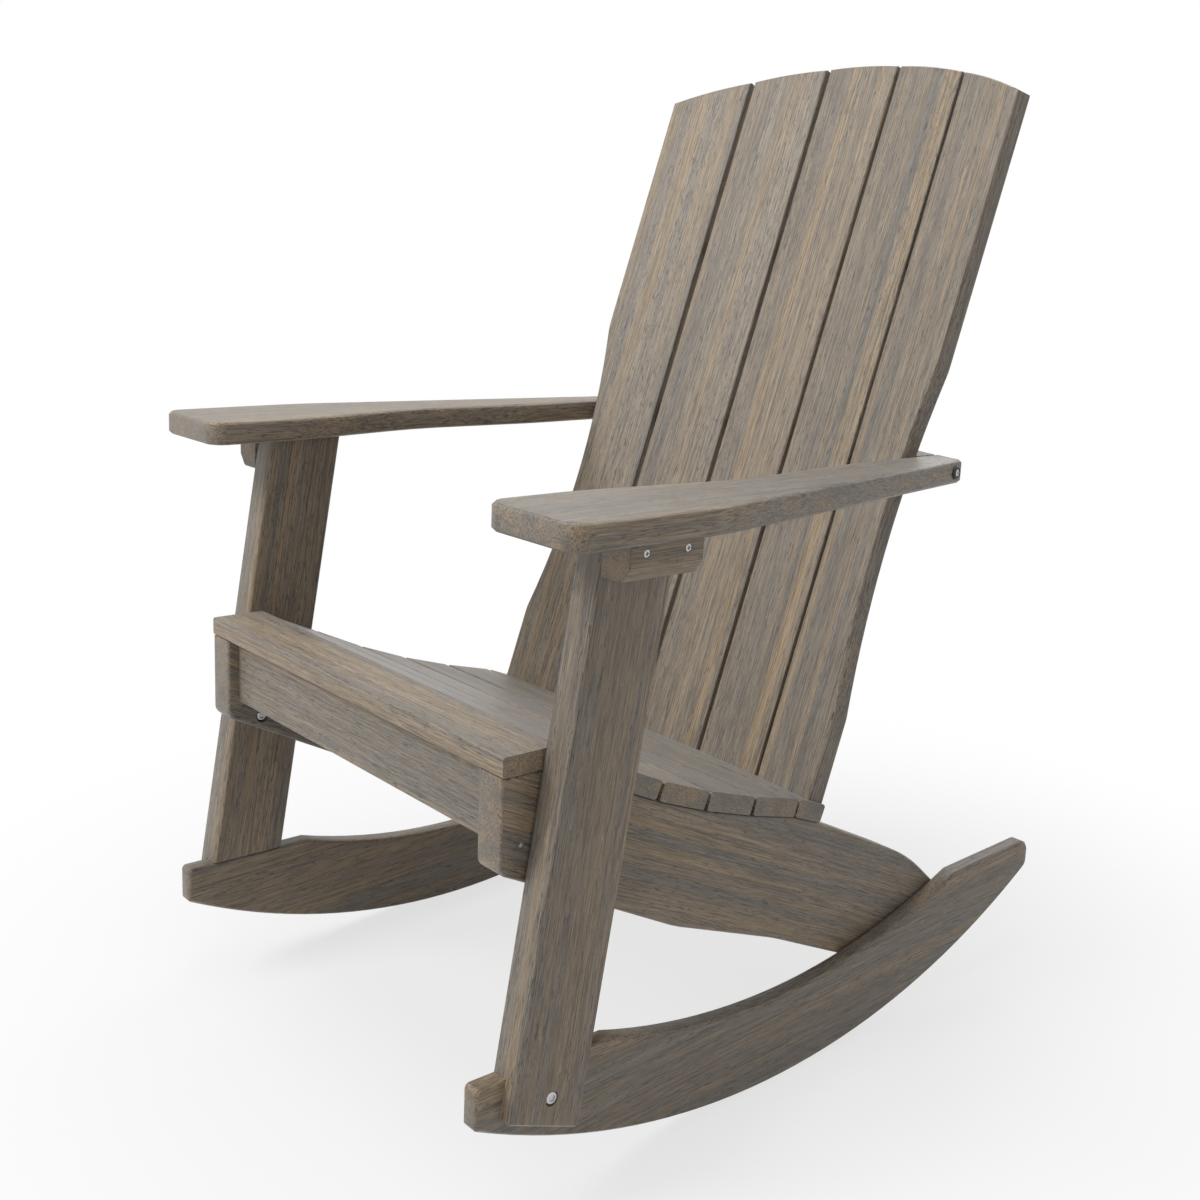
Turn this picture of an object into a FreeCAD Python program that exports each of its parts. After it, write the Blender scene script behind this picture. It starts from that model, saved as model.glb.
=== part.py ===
import FreeCAD, Part
import math
import os
from FreeCAD import Vector

# Rocking adirondack chair in solid plastic lumber. Millimetres, +Z up, facing -Y.
#
# The chair is symmetric about X = 0. It is drawn the way it is cut: upright, with the arms
# level and the front faces plumb, with Z = 0 at the rockers' lowest point. The last
# step rolls it back on its rockers to the angle at which it balances, and puts the origin
# on the floor in the middle of its footprint. Left and right are the sitter's.

# Boards
seat_width = 530.0          # length of the seat slats, and the clear width between the legs
slat_thick = 19.0
stringer_thick = 35.0
leg_thick = 34.0
rocker_thick = 20.0
arm_thick = 24.0
slat_round = 2.5            # rounded long edges of the seat slats and the apron
slat_ease = 2.0             # bevelled edges of the back slats and the curved boards
stringer_ease = 2.5
board_ease = 3.0            # bevelled edges of the arms, legs and rockers

# Rockers, in the side view
rocker_radius = 795.0       # bottom edge
rocker_middle = 5.0         # its lowest point
rocker_front = -352.0
rocker_stub_top = 123.5     # level top in front of and inside the leg
rocker_waist = 92.5         # from the floor to the lowest point of the top edge
rocker_top_radius = 730.0
rocker_top_centre = 9.0
rocker_kink = 305.0         # from here the top edge runs on straight
rocker_tail = 442.0
rocker_tail_height = 31.0   # of the rear end, above the bottom edge
rocker_tail_round = 12.0
rocker_nose_round = 5.0

# Legs
leg_lean = 9.0              # degrees back from upright
leg_width = 84.0
leg_front_at_floor = -340.4
leg_toe = 15.0              # the leg ends this far above the rocker's bottom edge
leg_toe_round = 4.0

# Seat
seat_front = -318.5
seat_height = 410.5         # top of the front slat
front_slat_width = 60.5
front_slat_gap = 5.5        # from the front slat to the start of the sloping ones
front_slat_step = 5.5       # height of the front slat above that start
seat_pitch = 66.0           # width of a sloping slat with its gap
seat_gap = 4.0
seat_tilts = (24.3, 24.7, 20.8, 17.1, 14.3)
apron_setback = 12.0
apron_height = 69.5

# The rail that the back stands on, which is the last board of the seat
foot_rail_tilt = 21.2
foot_rail_ends = 41.0       # its width at its ends
foot_rail_lip = 3.0         # it runs this far out behind the middle slat

# Stringers, the two boards under the seat. Their lower edge falls from the nose to the heel
# through points (y, share of that fall still to go, radius).
stringer_nose = 87.0        # height of the front end
stringer_corner = 12.0
stringer_under = ((-294.0, 0.95, 14.0), (-107.0, 0.554, 200.0), (33.0, 0.335, 300.0))
stringer_heel = (209.0, 65.5, 8.0)
stringer_tip = (304.0, 130.5, 10.0)
stringer_bend = (242.0, 0.424, 250.0)    # on the top edge, as a share of the climb from the tip

# Stretcher between the stringers, below the foot rail
stretcher_front = 92.0
stretcher_thick = 34.0
stretcher_height = 76.0

# Back
back_lean = 18.54           # degrees back from upright
back_slat_width = 101.0
back_gap = 5.0
back_turn = 8.0             # each slat is turned this much from the one beside it
back_side_slats = 2         # on each side of the middle one
back_foot = 118.0           # the middle slat's front face, where it meets the foot rail
back_height = 813.0         # from there to the top of the arch, along the slat
back_arch_radius = 643.0
waist_start = 92.0          # the outer slats are hollowed between these heights
waist_end = 462.0
waist_depth = 17.5
waist_round = 60.0

# Arms, with the points (y, x, radius) of the inner edge from front to rear
arm_rise = 216.0            # from the front slat's top to the top of the arms
arm_front = -329.0
arm_rear = 249.0
arm_inner = 240.0           # half the clear width between the arms at the front
arm_outer = 360.0
arm_edge = ((-228.0, 240.0, 300.0), (-58.0, 266.0, 350.0), (104.0, 250.0, 500.0))
arm_tail_width = 37.0
arm_tail_skew = 5.5         # the tail's outer corner lies this far forward of its inner one
arm_corner = 20.0
arm_tail_round = 5.0
arm_taper_start = -166.0
arm_taper_round = 400.0

# Rails behind the back slats, deepest at the middle of their top faces
arm_rail_depth = 21.0
arm_rail_radius = 950.0
top_rail_drop = 229.5       # from the top of the arch to the underside of the top rail
top_rail_depth = 24.0
top_rail_length = 444.0

# Corbels under the arms
corbel_thick = 35.5
corbel_height = 38.0
corbel_lead = 4.0           # in front of the leg's top
corbel_length = 82.5
corbel_chamfer = (9.5, 12.5)
corbel_ease = 1.2

# Fasteners: diameters, depth of the head's seat below the surface, and length of shank.
# They repeat often, so they have few sides.
leg_bolt = dict(head=12.4, pocket=14.0, depth=3.0, shank=6.0, length=26.0)
frame_bolt = dict(head=12.0, pocket=15.0, depth=4.0, shank=6.0, length=44.0)
arm_bolt = dict(head=8.0, pocket=9.0, depth=2.0, shank=6.0, length=58.0)
screw_head = 6.4            # across a countersunk head
screw_shank = 3.6
screw_depth = 0.5           # from the surface to the head
corbel_screw_length = 50.0
apron_screw_length = 56.0
rail_screw_length = 36.0
foot_screw_length = 45.0
head_sides = 12
shank_sides = 6
head_rise = 0.21            # height of a head, as a share of its diameter
head_crown = 0.72           # width of its top, as a share of its diameter
socket_share = 0.5          # width of the hexagon socket, as a share of the head
washer_diameter = 14.4
washer_thick = 3.0

# Their places. On the leg: (behind its front edge, height or drop below the seat's underside)
leg_bolt_place = (45.0, 97.5)
seat_bolt_places = ((14.8, 91.0), (61.6, 71.0))
tail_bolt_places = ((200.0, 94.5), (248.0, 114.5))
apron_screw_rise = 5.5      # above the apron's lower edge
corbel_screw_inset = 18.0
corbel_screw_drop = 13.5
arm_bolt_joint = 26.3       # from the arm's rear end to where its bolt enters the rail
rail_screw_spread = 60.0    # between the two screws of a slat
rail_screw_edge = 12.0      # at least this far inside the rail's ends

# How much heavier the fasteners are than the boards, for the balance
metal_ratio = 8.0

# Values that follow from the ones above
side_x = seat_width / 2.0                   # outer face of the stringers, inner face of the legs
arm_height = seat_height + arm_rise
stringer_inner = side_x - stringer_thick
leg_outer = side_x + leg_thick
arm_under = arm_height - arm_thick
arm_tail_inner = arm_edge[-1][1]
seat_under = seat_height - slat_thick
back_pitch = back_slat_width + back_gap
back_curve = back_pitch / (2.0 * math.tan(math.radians(back_turn / 2.0)))
back_numbers = range(-back_side_slats, back_side_slats + 1)


def sine(degrees):
    return math.sin(math.radians(degrees))


def cosine(degrees):
    return math.cos(math.radians(degrees))


def slope(degrees):
    return math.tan(math.radians(degrees))


def side(x):
    """Return a function that puts a side-view point (y, z) at X = x."""
    return lambda y, z: Vector(x, y, z)


def plan(z):
    """Return a function that puts a plan-view point (y, x) at Z = z."""
    return lambda y, x: Vector(x, y, z)


def rounded_wire(corners, place):
    """Return a closed wire through (a, b, radius) corners, each rounded by its radius."""
    ends = []
    for i, (a, b, radius) in enumerate(corners):
        before = corners[i - 1]
        after = corners[(i + 1) % len(corners)]
        here = Vector(a, b, 0)
        back = (Vector(before[0], before[1], 0) - here).normalize()
        away = (Vector(after[0], after[1], 0) - here).normalize()
        half = back.getAngle(away) / 2.0
        reach = radius / math.tan(half)
        bend = (back + away).normalize() * (radius / math.sin(half) - radius)
        ends.append((here + back * reach, here + bend, here + away * reach, radius))
    edges = []
    for i, (start, bend, finish, radius) in enumerate(ends):
        following = ends[(i + 1) % len(ends)][0]
        if radius > 0:
            edges.append(Part.Arc(*[place(p.x, p.y) for p in (start, bend, finish)]).toShape())
        edges.append(Part.LineSegment(place(finish.x, finish.y), place(following.x, following.y)).toShape())
    return Part.Wire(edges)


def prism(wire, depth):
    """Return the solid swept by a flat wire along a vector."""
    return Part.Face(wire).extrude(depth)


def flat_edges(shape, axis, value):
    """Return the edges that lie in the plane where X, Y or Z (axis 0, 1 or 2) has a value."""
    found = []
    for edge in shape.Edges:
        box = edge.BoundBox
        low = (box.XMin, box.YMin, box.ZMin)[axis]
        high = (box.XMax, box.YMax, box.ZMax)[axis]
        if abs(low - value) < 0.01 and abs(high - value) < 0.01:
            found.append(edge)
    return found


def cross_edges(shape, points):
    """Return the edges along X that pass through the given side-view points (y, z)."""
    found = []
    for edge in shape.Edges:
        middle = edge.CenterOfMass
        along_x = edge.BoundBox.XLength > 0.99 * edge.Length
        if along_x and any(math.hypot(middle.y - y, middle.z - z) < 0.05 for y, z in points):
            found.append(edge)
    return found


def long_edges(shape, length):
    """Return the edges that run the given length along X."""
    return [edge for edge in shape.Edges if edge.BoundBox.XLength > 0.99 * length]


def mirrored(shape):
    """Return the same piece on the other side of the chair."""
    return shape.mirror(Vector(0, 0, 0), Vector(1, 0, 0))


def both_sides(shapes):
    """Return one group of the shapes and their mirror images."""
    return Part.makeCompound(shapes + [mirrored(shape) for shape in shapes])


def ring(at, axis, diameter, sides):
    """Return a regular polygon whose flats lie on a circle square to an axis."""
    level = Vector(0, 0, 1) if abs(axis.z) < 0.5 else Vector(1, 0, 0)
    across = axis.cross(level).normalize()
    up = axis.cross(across)
    reach = diameter / 2.0 / math.cos(math.pi / sides)
    points = []
    for i in range(sides + 1):
        turn = 2.0 * math.pi * (i % sides + 0.5) / sides
        points.append(at + (across * math.cos(turn) + up * math.sin(turn)) * reach)
    return Part.makePolygon(points)


def taper(at, axis, first, second, length, sides):
    """Return a cone of a few sides that goes from one diameter to another along an axis."""
    start = ring(at, axis, first, sides)
    end = ring(at + axis * length, axis, second, sides)
    a = [vertex.Point for vertex in start.OrderedVertexes]
    b = [vertex.Point for vertex in end.OrderedVertexes]
    faces = [Part.Face(start), Part.Face(end)]
    for i in range(sides):
        faces.append(Part.Face(Part.makePolygon([a[i - 1], a[i], b[i], b[i - 1], a[i - 1]])))
    body = Part.makeSolid(Part.makeShell(faces))
    if body.Volume < 0:
        body.reverse()
    return body


def sunk_bolt(at, inward, size):
    """Return a socket-headed bolt driven in at a surface point, and the hole that it fills."""
    seat = at + inward * size["depth"]
    rise = head_rise * size["head"]
    collar = prism(ring(seat, inward, size["head"], head_sides), inward * (-0.5 * rise))
    crown = taper(seat - inward * rise, inward, head_crown * size["head"], size["head"], 0.5 * rise, head_sides)
    shank = prism(ring(seat, inward, size["shank"], shank_sides), inward * size["length"])
    socket = prism(ring(seat - inward * rise, inward, socket_share * size["head"], 6), inward * (0.6 * rise))
    bolt = collar.fuse([crown, shank]).cut(socket).removeSplitter()
    pocket = prism(ring(seat, inward, size["pocket"], head_sides), inward * (-2.0 * size["depth"]))
    return bolt, pocket.fuse(shank)


def sunk_screw(at, inward, length):
    """Return a countersunk screw driven in at a surface point, and the hole that it fills."""
    top = at + inward * screw_depth
    cone = (screw_head - screw_shank) / 2.0
    head = taper(top, inward, screw_head, screw_shank, cone, shank_sides)
    shank = prism(ring(top + inward * cone, inward, screw_shank, shank_sides), inward * (length - cone))
    screw = head.fuse(shank)
    mouth = prism(ring(top, inward, screw_head, shank_sides), inward * (-2.0 * screw_depth))
    return screw, mouth.fuse(screw).removeSplitter()


# Rockers
def rocker_floor(y):
    """Return the height of the rocker's bottom edge at y."""
    return rocker_radius - math.sqrt(rocker_radius ** 2 - (y - rocker_middle) ** 2)


def rocker_crest(y):
    """Return the height of the hollow stretch of the rocker's top edge at y."""
    fall = math.sqrt(rocker_top_radius ** 2 - (y - rocker_top_centre) ** 2)
    return rocker_waist + rocker_top_radius - fall


def rocker_tail_top():
    """Return the height of the top corner of the rocker's rear end."""
    return rocker_floor(rocker_tail) + rocker_tail_height


def rocker_wire(place):
    """Return the rocker's side-view outline."""
    climb = rocker_top_radius - (rocker_stub_top - rocker_waist)
    stub_end = rocker_top_centre - math.sqrt(rocker_top_radius ** 2 - climb ** 2)
    nose_low = place(rocker_front, rocker_floor(rocker_front))
    nose_high = place(rocker_front, rocker_stub_top)
    hollow_start = place(stub_end, rocker_stub_top)
    hollow_low = place(rocker_top_centre, rocker_waist)
    hollow_end = place(rocker_kink, rocker_crest(rocker_kink))
    tail_high = place(rocker_tail, rocker_tail_top())
    tail_low = place(rocker_tail, rocker_floor(rocker_tail))
    return Part.Wire([
        Part.LineSegment(nose_low, nose_high).toShape(),
        Part.LineSegment(nose_high, hollow_start).toShape(),
        Part.Arc(hollow_start, hollow_low, hollow_end).toShape(),
        Part.LineSegment(hollow_end, tail_high).toShape(),
        Part.LineSegment(tail_high, tail_low).toShape(),
        Part.Arc(tail_low, place(rocker_middle, 0), nose_low).toShape(),
    ])


def make_rocker():
    """Return the left rocker."""
    body = prism(rocker_wire(side(side_x)), Vector(rocker_thick, 0, 0))
    nose = [(rocker_front, rocker_floor(rocker_front)), (rocker_front, rocker_stub_top)]
    tail = [(rocker_tail, rocker_tail_top()), (rocker_tail, rocker_floor(rocker_tail))]
    body = body.makeFillet(rocker_nose_round, cross_edges(body, nose))
    body = body.makeFillet(rocker_tail_round, cross_edges(body, tail))
    rims = flat_edges(body, 0, side_x) + flat_edges(body, 0, side_x + rocker_thick)
    return body.makeChamfer(board_ease, rims)


# Legs
def leg_front(z):
    """Return the leg's front edge at height z."""
    return leg_front_at_floor + z * slope(leg_lean)


def leg_rear(z):
    """Return the leg's rear edge at height z."""
    return leg_front(z) + leg_width / cosine(leg_lean)


def leg_foot(edge):
    """Return the point where a leg edge ends, a toe's height above the rocker's bottom edge."""
    z = leg_toe
    for step in range(20):
        z = rocker_floor(edge(z)) + leg_toe
    return edge(z), z


def make_leg():
    """Return the left leg, lapped over the rocker at its foot."""
    front_y, front_z = leg_foot(leg_front)
    rear_y, rear_z = leg_foot(leg_rear)
    corners = [
        (front_y, front_z, leg_toe_round),
        (rear_y, rear_z, leg_toe_round),
        (leg_rear(arm_under), arm_under, 0),
        (leg_front(arm_under), arm_under, 0),
    ]
    body = prism(rounded_wire(corners, side(side_x)), Vector(leg_thick, 0, 0))
    rims = flat_edges(body, 0, side_x) + flat_edges(body, 0, leg_outer)
    body = body.makeChamfer(board_ease, [e for e in rims if e.BoundBox.ZMin < arm_under - board_ease])
    lap = prism(rocker_wire(side(side_x - board_ease)), Vector(rocker_thick + board_ease, 0, 0))
    return body.cut(lap)


# Seat
def seat_line():
    """Return the top front points (y, z) of the sloping slats' pitches, and the last one's end."""
    points = [(seat_front + front_slat_width + front_slat_gap, seat_height - front_slat_step)]
    for tilt in seat_tilts:
        y, z = points[-1]
        points.append((y + seat_pitch * cosine(tilt), z - seat_pitch * sine(tilt)))
    return points


def along(point, tilt, distance):
    """Return a side-view point moved rearwards along a board of the given tilt."""
    return point[0] + distance * cosine(tilt), point[1] - distance * sine(tilt)


def below(point, tilt, drop):
    """Return a side-view point moved square to a board of the given tilt, to its underside."""
    return point[0] - drop * sine(tilt), point[1] - drop * cosine(tilt)


def crossing(first, first_tilt, second, second_tilt):
    """Return where two lines through points (y, z), falling rearwards by their tilts, meet."""
    a = slope(first_tilt)
    b = slope(second_tilt)
    y = (second[1] - first[1] - a * first[0] + b * second[0]) / (b - a)
    return y, first[1] - a * (y - first[0])


def seat_bearing():
    """Return the line (y, z) under the sloping slats, on which they lie."""
    tilts = list(seat_tilts) + [foot_rail_tilt]
    under = [below(point, tilt, slat_thick) for point, tilt in zip(seat_line(), tilts)]
    points = [crossing((seat_front, seat_under), 0.0, under[0], tilts[0])]
    for i in range(len(tilts) - 1):
        points.append(crossing(under[i], tilts[i], under[i + 1], tilts[i + 1]))
    points.append(along(under[-1], foot_rail_tilt, foot_rail_ends + seat_gap / 2.0))
    return points


def make_stringer():
    """Return the left stringer, whose top follows the seat and whose tail meets the rocker."""
    nose = seat_under - stringer_nose
    heel = stringer_heel[1]
    tip = stringer_tip[1]
    bearing = seat_bearing()
    bend_y, bend_share, bend_radius = stringer_bend
    corners = [(seat_front, nose, stringer_corner)]
    corners += [(y, heel + share * (nose - heel), radius) for y, share, radius in stringer_under]
    corners += [stringer_heel, stringer_tip, (bend_y, tip + bend_share * (bearing[-1][1] - tip), bend_radius)]
    corners += [(y, z, 0) for y, z in reversed(bearing)] + [(seat_front, seat_under, 0)]
    body = prism(rounded_wire(corners, side(stringer_inner)), Vector(stringer_thick, 0, 0))
    rims = flat_edges(body, 0, stringer_inner) + flat_edges(body, 0, side_x)
    return body.makeChamfer(stringer_ease, rims)


def laid(body, front, tilt):
    """Move a board drawn flat below Z = 0 and behind Y = 0 to its front point and tilt."""
    body.rotate(Vector(0, 0, 0), Vector(1, 0, 0), -tilt)
    body.translate(Vector(0, front[0], front[1]))
    return body


def seat_board(width):
    """Return a straight seat board with eased long edges, drawn flat."""
    body = Part.makeBox(seat_width, width, slat_thick, Vector(-side_x, 0, -slat_thick))
    return body.makeFillet(slat_round, long_edges(body, seat_width))


def make_seat_slats():
    """Return the front slat and the sloping slats behind it."""
    slats = [laid(seat_board(front_slat_width), (seat_front, seat_height), 0.0)]
    for start, tilt in zip(seat_line(), seat_tilts):
        slats.append(laid(seat_board(seat_pitch - seat_gap), along(start, tilt, seat_gap / 2.0), tilt))
    return slats


def foot_rail_front():
    """Return the foot rail's top front point (y, z)."""
    return along(seat_line()[-1], foot_rail_tilt, seat_gap / 2.0)


def foot_height(y):
    """Return the height of the foot rail's top face at y."""
    front = foot_rail_front()
    return front[1] - (y - front[0]) * slope(foot_rail_tilt)


def make_foot_rail():
    """Return the board that the back stands on: straight in front, curved behind."""
    middle = back_foot + slat_thick / cosine(back_lean) + foot_rail_lip
    depth = (middle - foot_rail_front()[0]) / cosine(foot_rail_tilt)
    front_left = Vector(side_x, 0, 0)
    front_right = Vector(-side_x, 0, 0)
    rear_left = Vector(side_x, foot_rail_ends, 0)
    rear_right = Vector(-side_x, foot_rail_ends, 0)
    wire = Part.Wire([
        Part.LineSegment(rear_right, front_right).toShape(),
        Part.LineSegment(front_right, front_left).toShape(),
        Part.LineSegment(front_left, rear_left).toShape(),
        Part.Arc(rear_left, Vector(0, depth, 0), rear_right).toShape(),
    ])
    body = prism(wire, Vector(0, 0, -slat_thick))
    body = body.makeChamfer(slat_ease, long_edges(body, seat_width))
    return laid(body, foot_rail_front(), foot_rail_tilt)


def make_apron():
    """Return the board between the stringers below the front slat."""
    corner = Vector(-stringer_inner, seat_front + apron_setback, seat_under - apron_height)
    body = Part.makeBox(2.0 * stringer_inner, slat_thick, apron_height, corner)
    return body.makeFillet(slat_round, long_edges(body, 2.0 * stringer_inner))


def make_stretcher():
    """Return the rail between the stringers, its top bevelled to carry the foot rail."""
    rear = stretcher_front + stretcher_thick
    drop = slat_thick / cosine(foot_rail_tilt)
    low = foot_height(rear) - drop - stretcher_height
    corners = [
        (stretcher_front, low, slat_round),
        (rear, low, slat_round),
        (rear, foot_height(rear) - drop, 0),
        (stretcher_front, foot_height(stretcher_front) - drop, 0),
    ]
    return prism(rounded_wire(corners, side(-stringer_inner)), Vector(2.0 * stringer_inner, 0, 0))


# Back
def slat_place(number):
    """Return the middle (x, y) of a slat's front face on the back's curve, drawn upright."""
    x = 0.0
    y = 0.0
    for k in range(abs(number)):
        x += back_pitch / 2.0 * (cosine(k * back_turn) + cosine((k + 1) * back_turn))
        y -= back_pitch / 2.0 * (sine(k * back_turn) + sine((k + 1) * back_turn))
    return math.copysign(x, number), y


def on_curve(body, number):
    """Move a body drawn upright on the middle slat to another slat, and lean it back."""
    x, y = slat_place(number)
    body.rotate(Vector(0, 0, 0), Vector(0, 0, 1), -number * back_turn)
    body.translate(Vector(x, y, 0))
    body.rotate(Vector(0, 0, 0), Vector(1, 0, 0), -back_lean)
    body.translate(Vector(0, back_foot, foot_height(back_foot)))
    return body


def arch_height(across):
    """Return the height of the arched top at a distance from the middle of the back."""
    return back_height - back_arch_radius + math.sqrt(back_arch_radius ** 2 - across ** 2)


def slat_wire(number):
    """Return the outline of a slat at number 0 or more, in its own plane."""
    half = back_slat_width / 2.0
    offset = number * back_pitch
    inner_foot = Vector(-half, 0, -back_slat_width)
    outer_foot = Vector(half, 0, -back_slat_width)
    inner_top = Vector(-half, 0, arch_height(offset - half))
    middle_top = Vector(0, 0, arch_height(offset))
    outer_top = Vector(half, 0, arch_height(offset + half))
    if number == back_side_slats:
        start = Vector(half, 0, waist_start)
        deepest = Vector(half - waist_depth, 0, (waist_start + waist_end) / 2.0)
        end = Vector(half, 0, waist_end)
        edges = [
            Part.LineSegment(outer_foot, start).toShape(),
            Part.Arc(start, deepest, end).toShape(),
            Part.LineSegment(end, outer_top).toShape(),
        ]
    else:
        edges = [Part.LineSegment(outer_foot, outer_top).toShape()]
    edges.append(Part.Arc(outer_top, middle_top, inner_top).toShape())
    edges.append(Part.LineSegment(inner_top, inner_foot).toShape())
    edges.append(Part.LineSegment(inner_foot, outer_foot).toShape())
    return Part.Wire(edges)


def waist_kinks(body):
    """Return the edges through the slat where its waist starts and ends."""
    kinks = []
    for edge in body.Edges:
        spot = edge.CenterOfMass
        at_kink = min(abs(spot.z - waist_start), abs(spot.z - waist_end)) < 0.01
        if at_kink and edge.BoundBox.YLength > 0.99 * slat_thick:
            kinks.append(edge)
    return kinks


def make_back_slat(number):
    """Return one slat of the back, cut off where it stands on the foot rail."""
    body = prism(slat_wire(abs(number)), Vector(0, slat_thick, 0))
    if abs(number) == back_side_slats:
        body = body.makeFillet(waist_round, waist_kinks(body))
    rims = flat_edges(body, 1, 0.0) + flat_edges(body, 1, slat_thick)
    body = body.makeChamfer(slat_ease, [e for e in rims if e.BoundBox.ZMax > 0])
    if number < 0:
        body = mirrored(body)
    body = on_curve(body, number)
    size = 2.0 * seat_width
    floor = Part.makeBox(size, size, size, Vector(-size / 2.0, -size / 2.0, -size))
    return body.cut(laid(floor, foot_rail_front(), foot_rail_tilt))


def back_hollow():
    """Return the space in front of the slats' rear faces, which shapes the rails."""
    size = 4.0 * back_height
    hollow = None
    for number in back_numbers:
        block = Part.makeBox(size, size, size, Vector(-size / 2.0, slat_thick - size, -size / 2.0))
        block = on_curve(block, number)
        hollow = block if hollow is None else hollow.common(block)
    return hollow


def rail_rear(top, depth):
    """Return how far back a rail with the given top face and depth reaches."""
    climb = top - foot_height(back_foot)
    return back_foot + climb * slope(back_lean) + slat_thick / cosine(back_lean) + depth


def curved_rail(bottom, thick, half, depth, radius):
    """Return a level rail behind the slats, curved behind and cut to their rear faces."""
    rear = rail_rear(bottom + thick, depth)
    rear_end = rear - radius + math.sqrt(radius ** 2 - half ** 2)
    front = rear_end - 2.0 * back_slat_width
    rear_left = Vector(half, rear_end, bottom)
    rear_right = Vector(-half, rear_end, bottom)
    front_left = Vector(half, front, bottom)
    front_right = Vector(-half, front, bottom)
    wire = Part.Wire([
        Part.LineSegment(rear_right, front_right).toShape(),
        Part.LineSegment(front_right, front_left).toShape(),
        Part.LineSegment(front_left, rear_left).toShape(),
        Part.Arc(rear_left, Vector(0, rear, bottom), rear_right).toShape(),
    ])
    body = prism(wire, Vector(0, 0, thick))
    curved = [e for e in long_edges(body, 2.0 * half) if e.BoundBox.YLength > 1.0]
    return body.makeChamfer(slat_ease, curved).cut(back_hollow())


# Arms and corbels
def make_arm():
    """Return the left arm: broad in front, drawn in along its inner edge, tapered behind."""
    corners = [
        (arm_front, arm_inner, arm_corner),
        (arm_front, arm_outer, arm_corner),
        (arm_taper_start, arm_outer, arm_taper_round),
        (arm_rear - arm_tail_skew, arm_tail_inner + arm_tail_width, arm_tail_round),
        (arm_rear, arm_tail_inner, 0),
    ]
    corners += reversed(arm_edge)
    body = prism(rounded_wire(corners, plan(arm_under)), Vector(0, 0, arm_thick))
    return body.makeChamfer(board_ease, flat_edges(body, 2, arm_under) + flat_edges(body, 2, arm_height))


def corbel_front():
    """Return where the corbel's front face is."""
    return leg_front(arm_under) - corbel_lead


def make_corbel():
    """Return the block under the left arm, on the leg's outer face."""
    cut_x, cut_z = corbel_chamfer
    low = arm_under - corbel_height
    outer = leg_outer + corbel_thick
    outline = [
        (leg_outer, arm_under),
        (leg_outer, low),
        (outer - cut_x, low),
        (outer, low + cut_z),
        (outer, arm_under),
        (leg_outer, arm_under),
    ]
    body = prism(Part.makePolygon([Vector(x, corbel_front(), z) for x, z in outline]), Vector(0, corbel_length, 0))
    bare = [e for e in body.Edges if e.BoundBox.XMax > leg_outer + 0.01 and e.BoundBox.ZMin < arm_under - 0.01]
    return body.makeChamfer(corbel_ease, bare)


# Fasteners, each returned with its hole
def make_leg_bolt():
    """Return the bolt from the left leg's outer face into the rocker."""
    offset, z = leg_bolt_place
    return sunk_bolt(Vector(leg_outer, leg_front(z) + offset, z), Vector(-1, 0, 0), leg_bolt)


def make_seat_bolts():
    """Return the bolts from the left stringer's inner face into the leg."""
    bolts = []
    for offset, drop in seat_bolt_places:
        z = seat_under - drop
        bolts.append(sunk_bolt(Vector(stringer_inner, leg_front(z) + offset, z), Vector(1, 0, 0), frame_bolt))
    return bolts


def make_tail_bolts():
    """Return the bolts from the left stringer's inner face into the rocker."""
    return [sunk_bolt(Vector(stringer_inner, y, z), Vector(1, 0, 0), frame_bolt) for y, z in tail_bolt_places]


def make_apron_screw():
    """Return the screw through the left stringer into the apron's end."""
    y = seat_front + apron_setback + slat_thick / 2.0
    z = seat_under - apron_height + apron_screw_rise
    return sunk_screw(Vector(side_x, y, z), Vector(-1, 0, 0), apron_screw_length)


def make_corbel_screws():
    """Return the screws through the left corbel into the leg."""
    x = leg_outer + corbel_thick
    z = arm_under - corbel_screw_drop
    places = (corbel_front() + corbel_screw_inset, corbel_front() + corbel_length - corbel_screw_inset)
    return [sunk_screw(Vector(x, y, z), Vector(-1, 0, 0), corbel_screw_length) for y in places]


def make_arm_bolt():
    """Return the bolt through the left arm's tail into the rail, its washer, and its hole."""
    corner = Vector(arm_tail_inner + arm_tail_width, arm_rear - arm_tail_skew, arm_under + arm_thick / 2.0)
    run = (Vector(arm_outer, arm_taper_start, corner.z) - corner).normalize()
    inward = Vector(run.y, -run.x, 0)
    joint = Vector(arm_tail_inner, arm_rear - arm_bolt_joint, corner.z)
    outer = corner + run * (joint - corner).dot(run) - inward * washer_thick
    middle = outer + inward * (0.5 * washer_thick)
    washer = taper(outer, inward, head_crown * washer_diameter, washer_diameter, 0.5 * washer_thick, head_sides)
    washer = washer.fuse(prism(ring(middle, inward, washer_diameter, head_sides), inward * (0.5 * washer_thick)))
    bolt, hole = sunk_bolt(outer, inward, arm_bolt)
    return bolt, washer.cut(hole), hole


def make_rail_screws(bottom, thick, half, depth, radius):
    """Return the screws through a curved rail into each slat, driven in from behind."""
    centre = Vector(0, rail_rear(bottom + thick, depth) - radius, bottom + thick / 2.0)
    screws = []
    for number in back_numbers:
        angle = number * back_turn
        inward = Vector(-sine(angle), -cosine(angle), 0)
        for offset in (-rail_screw_spread / 2.0, rail_screw_spread / 2.0):
            x = slat_place(number)[0] + offset * cosine(angle)
            x = math.copysign(min(abs(x), half - rail_screw_edge), x)
            at = centre + Vector(x, math.sqrt(radius ** 2 - x ** 2), 0)
            screws.append(sunk_screw(at, inward, rail_screw_length))
    return screws


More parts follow.
